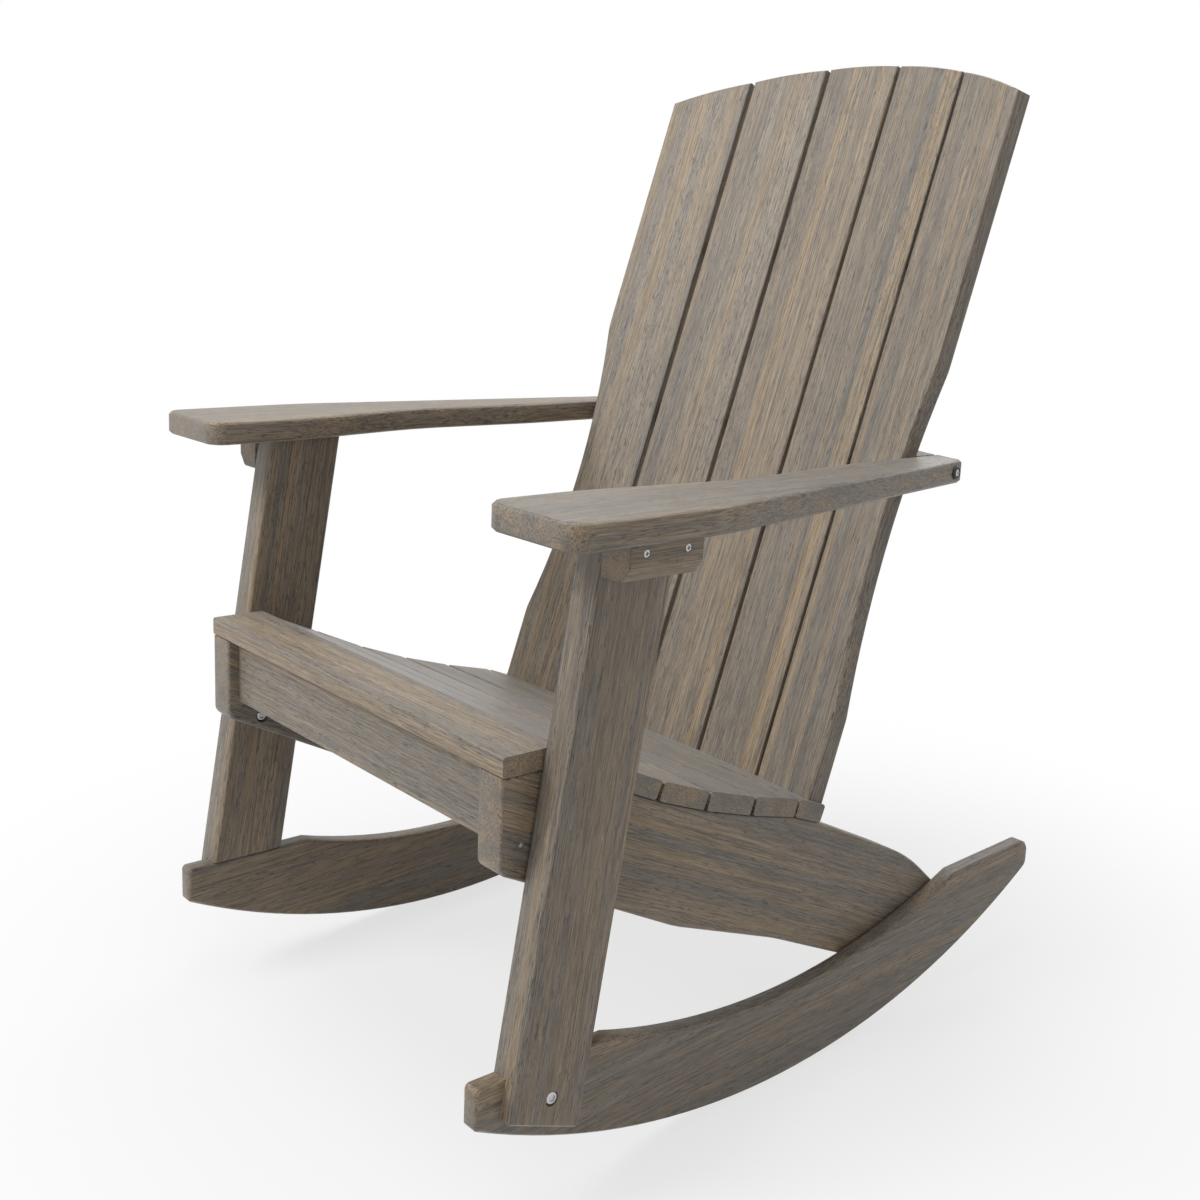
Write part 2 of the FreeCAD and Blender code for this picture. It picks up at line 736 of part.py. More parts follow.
def make_foot_screws():
    """Return the screws up through the foot rail into the slats' ends."""
    up = Vector(0, sine(foot_rail_tilt), cosine(foot_rail_tilt))
    screws = []
    for number in back_numbers:
        x, y = slat_place(number)
        y = back_foot + y * cosine(back_lean) + slat_thick / 2.0
        screws.append(sunk_screw(Vector(x, y, foot_height(y)) - up * slat_thick, up, foot_screw_length))
    return screws


def drilled(body, *groups):
    """Return the body with the holes of the given fasteners cut from it."""
    for group in groups:
        for fastener, hole in group:
            body = body.cut(hole)
    return body


def flipped(group):
    """Return the fasteners and holes of the other side of the chair."""
    return [(mirrored(fastener), mirrored(hole)) for fastener, hole in group]


def build():
    """Return every piece by name, in the upright position, and the names of the metal ones."""
    leg_bolts = [make_leg_bolt()]
    seat_bolts = make_seat_bolts()
    tail_bolts = make_tail_bolts()
    apron_screws = [make_apron_screw()]
    corbel_screws = make_corbel_screws()
    tail_bolt, washer, tail_hole = make_arm_bolt()
    arm_bolts = [(tail_bolt, tail_hole)]
    arm_rail_screws = make_rail_screws(arm_under, arm_thick, arm_tail_inner, arm_rail_depth, arm_rail_radius)
    top_rail_radius = back_curve + slat_thick + top_rail_depth
    top_rail_height = foot_height(back_foot) + back_height * cosine(back_lean) - top_rail_drop
    top_rail_half = top_rail_length / 2.0
    top_rail_screws = make_rail_screws(top_rail_height, slat_thick, top_rail_half, top_rail_depth, top_rail_radius)
    foot_screws = make_foot_screws()

    pairs = {
        "rocker": drilled(make_rocker(), leg_bolts, tail_bolts),
        "leg": drilled(make_leg(), leg_bolts, seat_bolts, corbel_screws),
        "stringer": drilled(make_stringer(), seat_bolts, tail_bolts, apron_screws),
        "arm": drilled(make_arm(), arm_bolts),
        "corbel": drilled(make_corbel(), corbel_screws),
    }
    pieces = {}
    for name, body in pairs.items():
        pieces[name + "_left"] = body
        pieces[name + "_right"] = mirrored(body)
    pieces["apron"] = drilled(make_apron(), apron_screws, flipped(apron_screws))
    pieces["stretcher"] = make_stretcher()
    for count, slat in enumerate(make_seat_slats(), 1):
        pieces["seat_slat_%d" % count] = slat
    pieces["foot_rail"] = drilled(make_foot_rail(), foot_screws)
    for count, number in enumerate(back_numbers, 1):
        slat = make_back_slat(number)
        pieces["back_slat_%d" % count] = drilled(slat, arm_rail_screws, top_rail_screws, foot_screws)
    arm_rail = curved_rail(arm_under, arm_thick, arm_tail_inner, arm_rail_depth, arm_rail_radius)
    pieces["arm_rail"] = drilled(arm_rail, arm_rail_screws, arm_bolts, flipped(arm_bolts))
    top_rail = curved_rail(top_rail_height, slat_thick, top_rail_half, top_rail_depth, top_rail_radius)
    pieces["top_rail"] = drilled(top_rail, top_rail_screws)

    metal = {
        "leg_bolts": both_sides([bolt for bolt, hole in leg_bolts]),
        "seat_bolts": both_sides([bolt for bolt, hole in seat_bolts]),
        "tail_bolts": both_sides([bolt for bolt, hole in tail_bolts]),
        "apron_screws": both_sides([screw for screw, hole in apron_screws]),
        "corbel_screws": both_sides([screw for screw, hole in corbel_screws]),
        "arm_bolts": both_sides([tail_bolt]),
        "arm_washers": both_sides([washer]),
        "rail_screws": Part.makeCompound([screw for screw, hole in arm_rail_screws + top_rail_screws]),
        "foot_screws": Part.makeCompound([screw for screw, hole in foot_screws]),
    }
    pieces.update(metal)
    return pieces, set(metal)


def balance(pieces, metal):
    """Return the centre of mass of all the pieces."""
    total = 0.0
    moment = Vector(0, 0, 0)
    for name, body in pieces.items():
        weight = body.Volume * (metal_ratio if name in metal else 1.0)
        total += weight
        moment += body.CenterOfGravity * weight
    return moment * (1.0 / total)


def settle(pieces, metal):
    """Roll the chair back to its balance and centre its footprint on the origin."""
    centre = balance(pieces, metal)
    roll = math.degrees(math.atan2(centre.y - rocker_middle, rocker_radius - centre.z))
    print("balances rolled back %.2f degrees, centre of mass %.1f high" % (roll, centre.z))
    for body in pieces.values():
        body.rotate(Vector(0, rocker_middle, rocker_radius), Vector(1, 0, 0), -roll)
    boxes = [body.optimalBoundingBox(False, False) for body in pieces.values()]
    front = min(box.YMin for box in boxes)
    rear = max(box.YMax for box in boxes)
    top = max(box.ZMax for box in boxes)
    middle = (front + rear) / 2.0
    print("depth %.1f, height %.1f, on the floor at y %.1f" % (rear - front, top, rocker_middle - middle))
    for body in pieces.values():
        body.translate(Vector(0, -middle, 0))


pieces, metal = build()
settle(pieces, metal)
os.makedirs("parts", exist_ok=True)
for name, body in pieces.items():
    body.exportStep("parts/%s.step" % name)
    facts = (name, len(body.Solids), body.Volume / 1000.0, body.isValid())
    print("%-14s solids %2d  volume %7.1f cm3  valid %s" % facts)
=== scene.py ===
# Rocking adirondack chair in wood-grained plastic lumber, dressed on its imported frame.
import bpy
import math
import random
import numpy as np
from mathutils import Matrix, Quaternion, Vector


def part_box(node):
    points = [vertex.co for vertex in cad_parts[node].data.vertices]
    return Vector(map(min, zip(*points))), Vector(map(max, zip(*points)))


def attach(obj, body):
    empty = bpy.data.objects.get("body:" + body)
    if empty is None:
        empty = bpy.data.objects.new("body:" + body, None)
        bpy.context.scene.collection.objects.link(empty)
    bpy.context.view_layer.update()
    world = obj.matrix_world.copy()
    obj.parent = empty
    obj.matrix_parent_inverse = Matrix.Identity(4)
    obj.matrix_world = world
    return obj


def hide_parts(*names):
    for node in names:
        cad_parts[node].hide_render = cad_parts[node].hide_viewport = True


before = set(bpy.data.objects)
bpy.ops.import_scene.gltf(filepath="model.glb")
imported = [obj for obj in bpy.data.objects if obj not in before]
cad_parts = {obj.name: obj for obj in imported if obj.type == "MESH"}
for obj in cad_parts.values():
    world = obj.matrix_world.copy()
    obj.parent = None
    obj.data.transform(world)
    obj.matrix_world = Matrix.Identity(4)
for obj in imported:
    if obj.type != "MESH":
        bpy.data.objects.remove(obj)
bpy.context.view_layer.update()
scene = bpy.context.scene
print("frame loaded:", len(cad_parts), "nodes")

# How far the chair leans back at rest, in degrees. The boards' directions below are the upright chair's.
chairRoll = 2.34


# Node helpers
def plug(tree, socket, value):
    # Links another node's socket to an input, or sets the input's value.
    if isinstance(value, bpy.types.NodeSocket):
        tree.links.new(value, socket)
    else:
        socket.default_value = value


def linkNode(tree, kind, settings=None, **inputs):
    # A new node with its inputs plugged: i0, i1 and so on count its sockets, other keys name them.
    node = tree.nodes.new(kind)
    for key, value in (settings or {}).items():
        setattr(node, key, value)
    for key, value in inputs.items():
        counted = key[0] == "i" and key[1:].isdigit()
        plug(tree, node.inputs[int(key[1:]) if counted else key], value)
    return node


def calc(tree, operation, first, second):
    return linkNode(tree, "ShaderNodeMath", dict(operation=operation), i0=first, i1=second).outputs[0]


def weigh(tree, *parts):
    # Sum of values times their weights.
    total = None
    for value, weight in parts:
        scaled = calc(tree, "MULTIPLY", value, weight)
        total = scaled if total is None else calc(tree, "ADD", total, scaled)
    return total


def blend(tree, share, first, second, mode="MIX"):
    node = tree.nodes.new("ShaderNodeMix")
    node.data_type = "RGBA"
    node.blend_type = mode
    for index, value in ((0, share), (6, first), (7, second)):
        plug(tree, node.inputs[index], value)
    return node.outputs[2]


def shade(tree, colour, value):
    # A colour times a grey value.
    grey = linkNode(tree, "ShaderNodeCombineColor", i0=value, i1=value, i2=value).outputs[0]
    return blend(tree, 1.0, colour, grey, "MULTIPLY")


def ramp(tree, value, low, high, first=0.0, second=1.0):
    # Smooth step of a value between two limits, sent to a new range.
    node = linkNode(tree, "ShaderNodeMapRange", dict(interpolation_type="SMOOTHSTEP"), i0=value)
    for index, number in ((1, low), (2, high), (3, first), (4, second)):
        node.inputs[index].default_value = number
    return node.outputs[0]


def stretched(tree, vector, along, across, detail, rough=0.5, shift=0.0):
    # Noise with its features drawn out along X: 'along' and 'across' are features per metre.
    scaled = linkNode(tree, "ShaderNodeMapping", i0=vector)
    scaled.inputs["Scale"].default_value = (along, across, across)
    scaled.inputs["Location"].default_value = (shift, shift * 0.7, shift * 1.3)
    noise = linkNode(tree, "ShaderNodeTexNoise", i0=scaled.outputs[0], Scale=1.0)
    noise.inputs["Detail"].default_value = detail
    noise.inputs["Roughness"].default_value = rough
    return noise.outputs["Fac"]


# Lumber: linear colours, how much of each streak shows, and the gloss. Lengths are in metres.
lumber = {
    "taupe": (0.226, 0.188, 0.144, 1.0),
    "tan": (0.315, 0.226, 0.132, 1.0),
    "slate": (0.138, 0.130, 0.118, 1.0),
    "dark": (0.040, 0.038, 0.036, 1.0),
    "pale": (0.50, 0.44, 0.38, 1.0),
    "tanShare": 0.8,
    "slateShare": 0.7,
    "darkShare": 0.8,
    "paleShare": 0.55,
    "fineShade": (0.48, 1.54),  # the fibres darken and lighten the colour by these
    "sway": 0.004,              # how far a streak wanders sideways
    "roughness": (0.40, 0.58),
    "bump": 0.5,
    "grainDepth": 0.0004,
    "sheen": 0.24,              # pale bloom at grazing angles
    "sheenRoughness": 0.45,
    "sheenTint": (0.84, 0.91, 1.0, 1.0),
    "scatter": 20.0,            # the boards are cut from a block of grain this far to each side
}

# Layers of the grain: features per metre along and across the board, octaves, roughness and own shift.
grainLayers = {
    "sway": dict(along=1.6, across=9.0, detail=1.0, rough=0.5, shift=31.0),
    "broad": dict(along=0.55, across=30.0, detail=2.0, rough=0.5, shift=3.0),
    "middle": dict(along=1.3, across=105.0, detail=2.0, rough=0.55, shift=11.0),
    "narrow": dict(along=4.5, across=380.0, detail=2.0, rough=0.6, shift=17.0),
    "fibre": dict(along=24.0, across=1100.0, detail=3.0, rough=0.75, shift=23.0),
    "slateLines": dict(along=0.7, across=55.0, detail=2.0, rough=0.55, shift=41.0),
    "fleck": dict(along=75.0, across=640.0, detail=2.0, rough=0.7, shift=47.0),
}

# Where each mark starts to show and is full, in the value of its layers.
grainLimits = {
    "tan": (0.54, 0.76), "slate": (0.50, 0.70), "fine": (0.36, 0.64), "gloss": (0.3, 0.7),
    "darkFleck": (0.55, 0.66), "darkPlace": (0.66, 0.44),
    "paleFleck": (0.36, 0.28), "palePlace": (0.45, 0.60),
}


def makeLumberGroup():
    # Colour, roughness and height of the grain, from a vector in metres whose X runs along the board.
    tree = bpy.data.node_groups.new("lumberGrain", "ShaderNodeTree")
    sockets = tree.interface
    sockets.new_socket("Vector", in_out="INPUT", socket_type="NodeSocketVector")
    sockets.new_socket("Tone", in_out="INPUT", socket_type="NodeSocketFloat")
    results = {"Color": "NodeSocketColor", "Roughness": "NodeSocketFloat", "Height": "NodeSocketFloat"}
    for name, kind in results.items():
        sockets.new_socket(name, in_out="OUTPUT", socket_type=kind)
    start = tree.nodes.new("NodeGroupInput")
    end = tree.nodes.new("NodeGroupOutput")
    vector = start.outputs["Vector"]
    # The streaks wander a little sideways along the board.
    sway = stretched(tree, vector, **grainLayers["sway"])
    offset = calc(tree, "MULTIPLY", calc(tree, "SUBTRACT", sway, 0.5), lumber["sway"])
    aside = linkNode(tree, "ShaderNodeCombineXYZ", X=0.0, Y=offset, Z=offset).outputs[0]
    vector = linkNode(tree, "ShaderNodeVectorMath", dict(operation="ADD"), i0=vector, i1=aside).outputs[0]
    layer = {}
    for name in ("broad", "middle", "narrow", "fibre", "slateLines", "fleck"):
        layer[name] = stretched(tree, vector, **grainLayers[name])
    # Tan streaks, then slate ones, each a mix of broad and narrower bands.
    tan = weigh(tree, (layer["broad"], 0.55), (layer["middle"], 0.45), (layer["narrow"], 0.25))
    tan = calc(tree, "MULTIPLY", ramp(tree, tan, *grainLimits["tan"]), lumber["tanShare"])
    colour = blend(tree, tan, lumber["taupe"], lumber["tan"])
    slate = weigh(tree, (layer["slateLines"], 0.7), (layer["narrow"], 0.4))
    slate = calc(tree, "MULTIPLY", ramp(tree, slate, *grainLimits["slate"]), lumber["slateShare"])
    colour = blend(tree, slate, colour, lumber["slate"])
    # Narrow lines and fine fibres darken and lighten the colour.
    fine = weigh(tree, (layer["fibre"], 0.7), (layer["narrow"], 0.3))
    colour = shade(tree, colour, ramp(tree, fine, *grainLimits["fine"], *lumber["fineShade"]))
    # Short dark flecks lie mostly where the middle bands are low, and a few pale ones where they are high.
    darkPlace = ramp(tree, layer["middle"], *grainLimits["darkPlace"], 0.25, 1.0)
    darkFleck = calc(tree, "MULTIPLY", ramp(tree, layer["fleck"], *grainLimits["darkFleck"]), darkPlace)
    colour = blend(tree, calc(tree, "MULTIPLY", darkFleck, lumber["darkShare"]), colour, lumber["dark"])
    palePlace = ramp(tree, layer["middle"], *grainLimits["palePlace"])
    paleFleck = calc(tree, "MULTIPLY", ramp(tree, layer["fleck"], *grainLimits["paleFleck"]), palePlace)
    colour = blend(tree, calc(tree, "MULTIPLY", paleFleck, lumber["paleShare"]), colour, lumber["pale"])
    colour = shade(tree, colour, start.outputs["Tone"])
    gloss = weigh(tree, (fine, 0.6), (layer["middle"], 0.4))
    rough = ramp(tree, gloss, *grainLimits["gloss"], *lumber["roughness"])
    height = weigh(tree, (fine, 1.0), (darkFleck, -0.5), (layer["narrow"], 0.5))
    tree.links.new(colour, end.inputs["Color"])
    tree.links.new(rough, end.inputs["Roughness"])
    tree.links.new(height, end.inputs["Height"])
    return tree


def grainDirection(grain):
    # Unit vector along a board: 'across' is along X, a number is the slope in degrees towards the rear.
    if grain == "across":
        return Vector((1.0, 0.0, 0.0))
    angle = math.radians(grain - chairRoll)
    return Vector((0.0, math.cos(angle), math.sin(angle)))


def makeLumber(name, centre, grain, tone, group):
    # The grain on object coordinates, turned so that X runs along the board, in a stretch of its own.
    material = bpy.data.materials.new(name)
    material.use_nodes = True
    tree = material.node_tree
    shader = tree.nodes["Principled BSDF"]
    along = grainDirection(grain)
    side = Vector((0.0, 0.0, 1.0)) if grain == "across" else Vector((1.0, 0.0, 0.0))
    side = (side - along * side.dot(along)).normalized()
    turn = Matrix((along, side, along.cross(side)))
    dice = random.Random(name)
    place = Vector([dice.uniform(-lumber["scatter"], lumber["scatter"]) for i in range(3)]) - turn @ centre
    mapping = linkNode(tree, "ShaderNodeMapping", i0=tree.nodes.new("ShaderNodeTexCoord").outputs["Object"])
    mapping.inputs["Rotation"].default_value = turn.to_euler()
    mapping.inputs["Location"].default_value = place
    grainNode = linkNode(tree, "ShaderNodeGroup", dict(node_tree=group), Vector=mapping.outputs[0], Tone=tone)
    bump = linkNode(tree, "ShaderNodeBump", Strength=lumber["bump"], Distance=lumber["grainDepth"])
    tree.links.new(grainNode.outputs["Height"], bump.inputs["Height"])
    tree.links.new(grainNode.outputs["Color"], shader.inputs["Base Color"])
    tree.links.new(grainNode.outputs["Roughness"], shader.inputs["Roughness"])
    tree.links.new(bump.outputs[0], shader.inputs["Normal"])
    shader.inputs["Sheen Weight"].default_value = lumber["sheen"]
    shader.inputs["Sheen Roughness"].default_value = lumber["sheenRoughness"]
    shader.inputs["Sheen Tint"].default_value = lumber["sheenTint"]
    return material


# Boards: which way the grain runs, and how light the board is.
pairedBoards = {
    "rocker": (3.4, 0.92), "leg": (81.0, 0.95), "stringer": (-24.4, 0.92),
    "arm": (0.0, 1.0), "corbel": (0.0, 0.9),
}
boards = {
    "apron": ("across", 0.97), "stretcher": ("across", 0.95), "foot_rail": ("across", 0.95),
    "arm_rail": ("across", 0.95), "top_rail": ("across", 0.95),
}
for name, look in pairedBoards.items():
    boards[name + "_left"] = look
    boards[name + "_right"] = look
for number in range(1, 7):
    boards["seat_slat_%d" % number] = ("across", 1.0)
for number in range(1, 6):
    boards["back_slat_%d" % number] = (71.5, 1.0)

# Edges: points this near are one, in metres, and corners over this many degrees stay sharp.
edges = {"oneWithin": 0.00001, "sharpOver": 50.0}


def makeSoftEdges():
    # Merges the triangles' corners and shades all but the sharp edges round.
    tree = bpy.data.node_groups.new("softEdges", "GeometryNodeTree")
    tree.interface.new_socket("Geometry", in_out="INPUT", socket_type="NodeSocketGeometry")
    tree.interface.new_socket("Geometry", in_out="OUTPUT", socket_type="NodeSocketGeometry")
    start = tree.nodes.new("NodeGroupInput")
    end = tree.nodes.new("NodeGroupOutput")
    merge = linkNode(tree, "GeometryNodeMergeByDistance", Geometry=start.outputs[0])
    merge.inputs["Distance"].default_value = edges["oneWithin"]
    smooth = linkNode(tree, "GeometryNodeSetShadeSmooth", dict(domain="FACE"), Geometry=merge.outputs[0])
    angle = tree.nodes.new("GeometryNodeInputMeshEdgeAngle").outputs[0]
    limit = math.radians(edges["sharpOver"])
    sharp = linkNode(tree, "FunctionNodeCompare", dict(operation="GREATER_THAN"), A=angle, B=limit).outputs[0]
    crisp = linkNode(tree, "GeometryNodeSetShadeSmooth", dict(domain="EDGE"), Geometry=smooth.outputs[0])
    crisp.inputs["Shade Smooth"].default_value = False
    tree.links.new(sharp, crisp.inputs["Selection"])
    tree.links.new(crisp.outputs[0], end.inputs[0])
    return tree


lumberGrain = makeLumberGroup()
softEdges = makeSoftEdges()
for name, (grain, tone) in boards.items():
    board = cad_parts[name]
    low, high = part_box(name)
    board.data.materials.clear()
    board.data.materials.append(makeLumber(name + "Lumber", (low + high) / 2.0, grain, tone, lumberGrain))
    board.modifiers.new("softEdges", "NODES").node_group = softEdges
    board.modifiers.new("evenNormals", "WEIGHTED_NORMAL").keep_sharp = True
print("boards dressed:", len(boards))


# Metal and plastic: linear colour, metallic share and roughness.
finishes = {
    "steelFinish": ((0.52, 0.52, 0.53, 1.0), 1.0, 0.26),
    "blackFinish": ((0.012, 0.012, 0.013, 1.0), 0.0, 0.35),
}
# Grit in them: specks per metre, their limits, and what they multiply the colour and the roughness by.
grit = {"perMetre": 2500.0, "limits": (0.3, 0.7), "shade": (0.85, 1.1), "gloss": (0.8, 1.25)}


def makeFinish(name):
    # Fine grit in the colour and a little unevenness in the gloss.
    colour, metallic, roughness = finishes[name]
    material = bpy.data.materials.new(name)
    material.use_nodes = True
    tree = material.node_tree
    shader = tree.nodes["Principled BSDF"]
    shader.inputs["Metallic"].default_value = metallic
    vector = tree.nodes.new("ShaderNodeTexCoord").outputs["Object"]
    specks = stretched(tree, vector, grit["perMetre"], grit["perMetre"], 2.0)
    shaded = shade(tree, colour, ramp(tree, specks, *grit["limits"], *grit["shade"]))
    low, high = grit["gloss"]
    rough = ramp(tree, specks, *grit["limits"], roughness * low, roughness * high)
    tree.links.new(shaded, shader.inputs["Base Color"])
    tree.links.new(rough, shader.inputs["Roughness"])
    return material


steel = makeFinish("steelFinish")
blackPlastic = makeFinish("blackFinish")
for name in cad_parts:
    if name not in boards:
        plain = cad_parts[name]
        plain.data.materials.clear()
        plain.data.materials.append(blackPlastic if name == "arm_washers" else steel)

# Fasteners that show: radii, rise of the head over its seat and length of the shank, in metres.
# 'sides' counts the corners of the drive, and 'outside' says that the head faces away from X = 0.
fasteners = {
    "leg_bolts": dict(head=0.0062, rise=0.0026, shank=0.003, length=0.026, sides=6, outside=True),
    "seat_bolts": dict(head=0.0060, rise=0.0025, shank=0.003, length=0.044, sides=6, outside=False),
    "tail_bolts": dict(head=0.0060, rise=0.0025, shank=0.003, length=0.044, sides=6, outside=False),
    "arm_bolts": dict(head=0.0040, rise=0.0017, shank=0.003, length=0.058, sides=6, outside=True),
    "apron_screws": dict(head=0.0032, rise=0.0, shank=0.0018, length=0.056, sides=4, outside=True),
    "corbel_screws": dict(head=0.0032, rise=0.0, shank=0.0018, length=0.050, sides=4, outside=True),
}
slantedFasteners = ["arm_bolts"]    # the others lie along X
driveDepth = 0.0014
washer = {"bore": 0.0045, "rim": 0.0072, "thick": 0.003, "lip": 0.0008}


def meshPoints(name):
    # All corner points of a node's mesh as one array.
    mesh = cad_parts[name].data
    points = np.empty(len(mesh.vertices) * 3)
    mesh.vertices.foreach_get("co", points)
    return points.reshape(-1, 3)


def bothSides(points):
    # The points to the left and to the right of X = 0.
    return [points[points[:, 0] > 0.0], points[points[:, 0] < 0.0]]


def alongX(points, apart=0.012):
    # Splits fasteners that lie along X by their side and their place in Y and Z.
    parts = []
    while len(points):
        near = np.hypot(*(points[:, 1:] - points[0, 1:]).T) < apart
        near &= np.sign(points[:, 0]) == np.sign(points[0, 0])
        parts.append(points[near])
        points = points[~near]
    return parts


def headAxis(points, name):
    # Outwards through the head: along X, or along the longest spread of a slanted fastener.
    side = np.sign(points[0, 0])
    outward = side if fasteners[name]["outside"] else -side
    axis = np.array([1.0, 0.0, 0.0])
    if name in slantedFasteners:
        axis = np.linalg.svd(points - points.mean(axis=0), full_matrices=False)[2][0]
    return axis * np.sign(axis[0]) * outward


def turnedMesh(rings, around=48):
    # Rows of (radius, height, share, corners) turned about Z: the radius of a row is its own times a
    # polygon's outline, mixed in by the row's share. The outline is 1 over the cosine of the angle from
    # the middle of a side.
    radius, height, share, corners = np.array(rings).T[:, :, None]
    angle = np.linspace(0.0, 2.0 * math.pi, around, endpoint=False)[None, :]
    sector = 2.0 * math.pi / corners
    outline = 1.0 / np.cos(np.mod(angle, sector) - sector / 2.0)
    reach = radius * (1.0 + share * (outline - 1.0))
    grid = np.stack([reach * np.cos(angle), reach * np.sin(angle), height + 0.0 * angle], axis=2)
    rowStart = np.arange(len(rings) - 1)[:, None] * around
    first = rowStart + np.arange(around)[None, :]
    beside = rowStart + np.roll(np.arange(around), -1)[None, :]
    faces = np.stack([first, first + around, beside + around, beside], axis=2)
    return grid.reshape(-1, 3), faces.reshape(-1, 4)


def boltRings(size):
    # From the middle of the drive's floor outwards, over the crown, under the head and down the shank.
    head, rise, shank, corners = size["head"], size["rise"], size["shank"], size["sides"]
    floor = rise - driveDepth
    drive = [(0.0, floor, 1.0), (0.46, floor, 1.0), (0.50, rise - 0.0001, 1.0), (0.56, rise, 0.5)]
    crown = [(0.70, 0.97), (0.84, 0.88), (0.94, 0.72), (1.0, 0.5), (1.0, 0.0)]
    rings = [(reach * head, height, share, corners) for reach, height, share in drive]
    rings += [(reach * head, height * rise, 0.0, corners) for reach, height in crown]
    neck = shank - head if rise == 0.0 else 0.0     # a countersunk head tapers to its shank
    rings += [(radius, height, 0.0, corners) for radius, height in ((shank, neck), (shank, -size["length"]))]
    return rings + [(0.0, -size["length"], 0.0, corners)]


def washerRings():
    # A cup washer's section, from its bore over the rounded top to its flat back.
    bore, rim, thick = washer["bore"], washer["rim"], washer["thick"]
    section = [(bore, 0.0), (bore, 0.6 * thick), (bore + washer["lip"], 0.75 * thick), (0.62 * rim, thick)]
    section += [(0.78 * rim, 0.97 * thick), (0.90 * rim, 0.82 * thick), (0.97 * rim, 0.58 * thick)]
    section += [(rim, 0.3 * thick), (rim, 0.0), (bore, 0.0)]
    return [(radius, height, 0.0, 6) for radius, height in section]


def placedAt(points, spot, axis):
    # Turns points drawn along Z to point along an axis, and moves them to a spot.
    across = np.cross(axis, (0.0, 0.0, 1.0))
    across /= np.linalg.norm(across)
    return spot + points @ np.array([across, np.cross(axis, across), axis])


def onAxis(points, axis, height):
    # The spot on a fastener's own axis at a height along that axis.
    middle = (points.max(axis=0) + points.min(axis=0)) / 2.0
    return middle + axis * (height - middle @ axis)


def addPiece(name, shapes, material, node):
    # One object from several turned shapes, riding on the chair in place of a node.
    starts = np.cumsum([0] + [len(points) for points, faces in shapes])
    allPoints = np.concatenate([points for points, faces in shapes])
    allFaces = np.concatenate([faces + start for (points, faces), start in zip(shapes, starts)])
    mesh = bpy.data.meshes.new(name)
    mesh.from_pydata(allPoints.tolist(), [], allFaces.tolist())
    mesh.materials.append(material)
    piece = bpy.data.objects.new(name, mesh)
    scene.collection.objects.link(piece)
    piece.modifiers.new("softEdges", "NODES").node_group = softEdges
    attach(piece, "root")
    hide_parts(node)


for name, size in fasteners.items():
    shapes = []
    drawn, faces = turnedMesh(boltRings(size))
    split = bothSides if name in slantedFasteners else alongX
    for points in split(meshPoints(name)):
        axis = headAxis(points, name)
        spot = onAxis(points, axis, (points @ axis).max() - size["rise"])
        shapes.append((placedAt(drawn, spot, axis), faces))
    addPiece(name + "Turned", shapes, steel, name)

shapes = []
drawn, faces = turnedMesh(washerRings())
for bolt, points in zip(bothSides(meshPoints("arm_bolts")), bothSides(meshPoints("arm_washers"))):
    axis = headAxis(bolt, "arm_bolts")
    shapes.append((placedAt(drawn, onAxis(points, axis, (points @ axis).min()), axis), faces))
addPiece("armWashersTurned", shapes, blackPlastic, "arm_washers")
print("fasteners dressed:", len(fasteners) + 1)


# Studio: a pale floor that fades to the white backdrop, sky light and four soft lamps. Lengths are in metres.
studio = {
    "floorSize": 12.0,
    "floorColour": (0.80, 0.80, 0.80, 1.0),
    "floorLift": 0.70,          # share of plain white in the floor that the camera sees
    "floorFade": (0.30, 1.05),  # from the middle, where the floor starts to fade and is all white
    "skyLight": 0.30,
}
lamps = {
    "keyLamp": dict(place=(-1.1, -2.8, 3.1), target=(0.0, 0.0, 0.6), size=1.5, power=86.0),
    "topLamp": dict(place=(0.1, -0.5, 3.2), target=(0.0, 0.0, 0.5), size=1.2, power=24.0),
    "fillLamp": dict(place=(3.0, -0.6, 1.6), target=(0.0, 0.0, 0.5), size=2.0, power=2.0),
    "backLamp": dict(place=(-1.0, 2.6, 2.4), target=(0.0, 0.0, 0.6), size=1.6, power=24.0),
}


def makeFloor():
    size = studio["floorSize"]
    mesh = bpy.data.meshes.new("floor")
    corners = [(-size, -size, 0), (size, -size, 0), (size, size, 0), (-size, size, 0)]
    mesh.from_pydata(corners, [], [(0, 1, 2, 3)])
    floor = bpy.data.objects.new("floor", mesh)
    scene.collection.objects.link(floor)
    material = bpy.data.materials.new("floorFinish")
    material.use_nodes = True
    tree = material.node_tree
    shader = tree.nodes["Principled BSDF"]
    shader.inputs["Base Color"].default_value = studio["floorColour"]
    shader.inputs["Roughness"].default_value = 0.9
    shader.inputs["Specular IOR Level"].default_value = 0.1
    vector = tree.nodes.new("ShaderNodeTexCoord").outputs["Object"]
    reach = linkNode(tree, "ShaderNodeVectorMath", dict(operation="LENGTH"), i0=vector).outputs["Value"]
    white = ramp(tree, reach, *studio["floorFade"], studio["floorLift"], 1.0)
    light = linkNode(tree, "ShaderNodeEmission", Color=(1.0, 1.0, 1.0, 1.0), Strength=1.0)
    ray = tree.nodes.new("ShaderNodeLightPath")
    seen = calc(tree, "MAXIMUM", ray.outputs["Is Camera Ray"], ray.outputs["Is Glossy Ray"])
    share = calc(tree, "MULTIPLY", white, seen)
    mix = linkNode(tree, "ShaderNodeMixShader", i0=share, i1=shader.outputs[0], i2=light.outputs[0])
    tree.links.new(mix.outputs[0], tree.nodes["Material Output"].inputs["Surface"])
    mesh.materials.append(material)


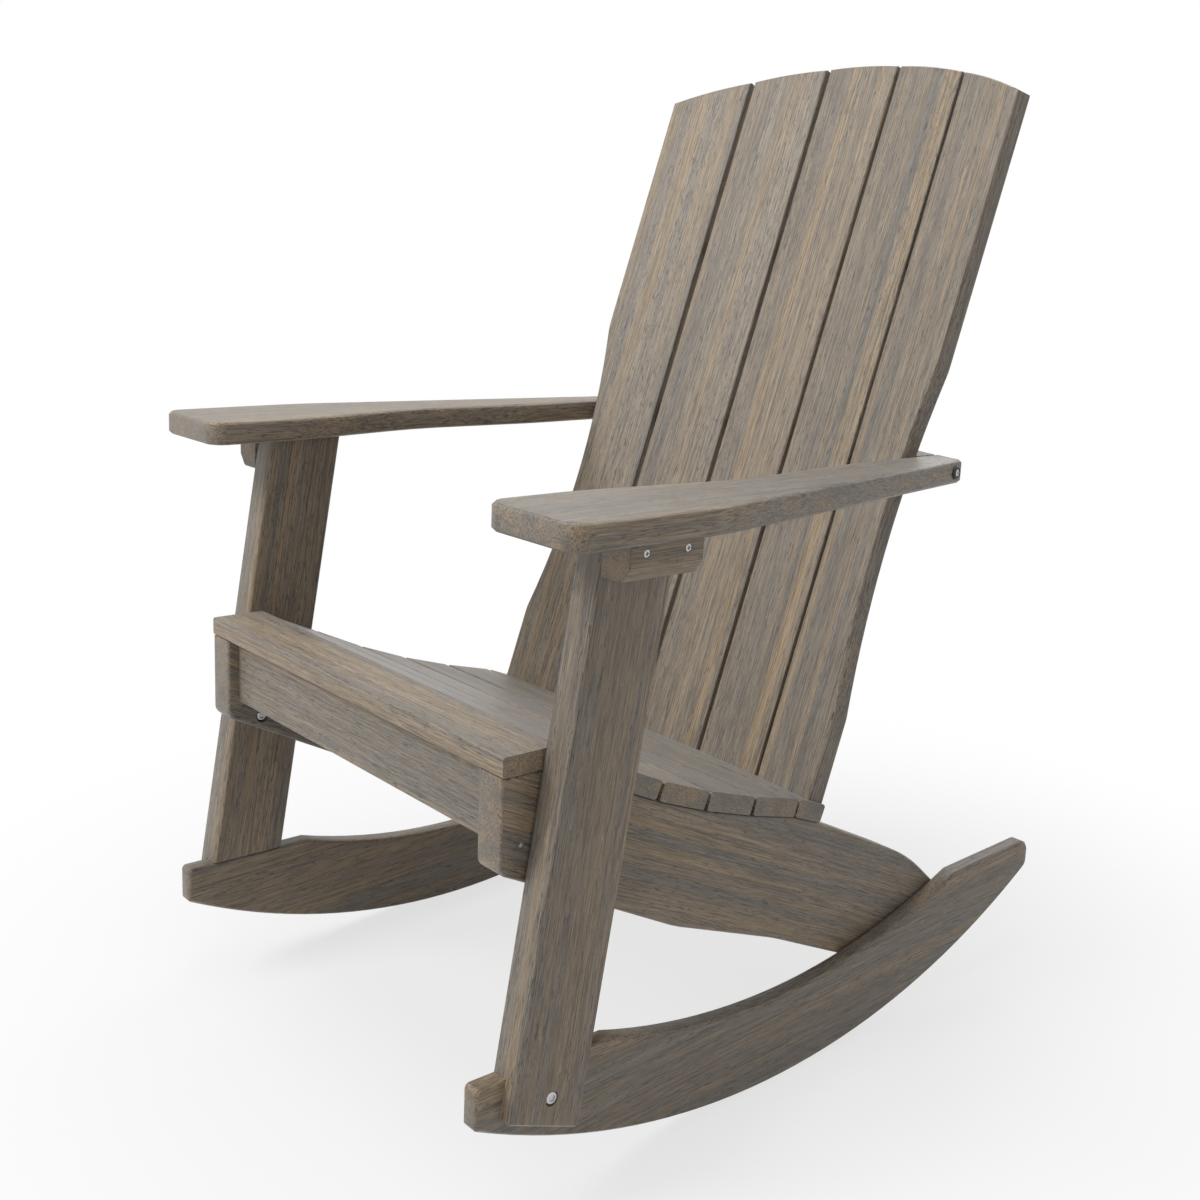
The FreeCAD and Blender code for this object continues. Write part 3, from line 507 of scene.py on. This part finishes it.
def makeSky():
    # White where the camera and reflections see it, dimmer as a light.
    world = bpy.data.worlds.new("studio")
    scene.world = world
    world.use_nodes = True
    tree = world.node_tree
    tree.nodes.clear()
    ray = tree.nodes.new("ShaderNodeLightPath")
    seen = calc(tree, "MAXIMUM", ray.outputs["Is Camera Ray"], ray.outputs["Is Glossy Ray"])
    seen = calc(tree, "MAXIMUM", seen, ray.outputs["Is Transmission Ray"])
    dim = linkNode(tree, "ShaderNodeBackground", Color=(1.0, 1.0, 1.0, 1.0), Strength=studio["skyLight"])
    white = linkNode(tree, "ShaderNodeBackground", Color=(1.0, 1.0, 1.0, 1.0), Strength=1.0)
    mix = linkNode(tree, "ShaderNodeMixShader", i0=seen, i1=dim.outputs[0], i2=white.outputs[0])
    output = tree.nodes.new("ShaderNodeOutputWorld")
    tree.links.new(mix.outputs[0], output.inputs["Surface"])


def makeLamp(name, place, target, size, power):
    data = bpy.data.lights.new(name, "AREA")
    data.shape = "SQUARE"
    data.size = size
    data.energy = power
    lamp = bpy.data.objects.new(name, data)
    lamp.location = place
    lamp.rotation_euler = (Vector(target) - Vector(place)).to_track_quat("-Z", "Y").to_euler()
    scene.collection.objects.link(lamp)


makeFloor()
makeSky()
for name, values in lamps.items():
    makeLamp(name, **values)
print("studio set")

# Camera: place in metres, directions in degrees, lens in millimetres and shift for a square frame.
view = {
    "place": (1.2315, -1.0645, 0.8976), "azimuth": 49.814, "down": 13.928, "lean": 0.6,
    "lens": 45.98, "sensor": 36.0, "shiftY": -0.0384,
}


def makeCamera():
    data = bpy.data.cameras.new("camera")
    data.lens = view["lens"]
    data.sensor_width = view["sensor"]
    data.shift_y = view["shiftY"]
    camera = bpy.data.objects.new("camera", data)
    azimuth = math.radians(view["azimuth"])
    down = math.radians(view["down"])
    level = math.cos(down)
    forward = Vector((-math.sin(azimuth) * level, math.cos(azimuth) * level, -math.sin(down)))
    lean = Quaternion((0.0, 0.0, 1.0), math.radians(view["lean"]))
    camera.location = view["place"]
    camera.rotation_euler = (forward.to_track_quat("-Z", "Y") @ lean).to_euler()
    scene.collection.objects.link(camera)
    scene.camera = camera


makeCamera()
scene.view_settings.view_transform = "Standard"
print("camera set")
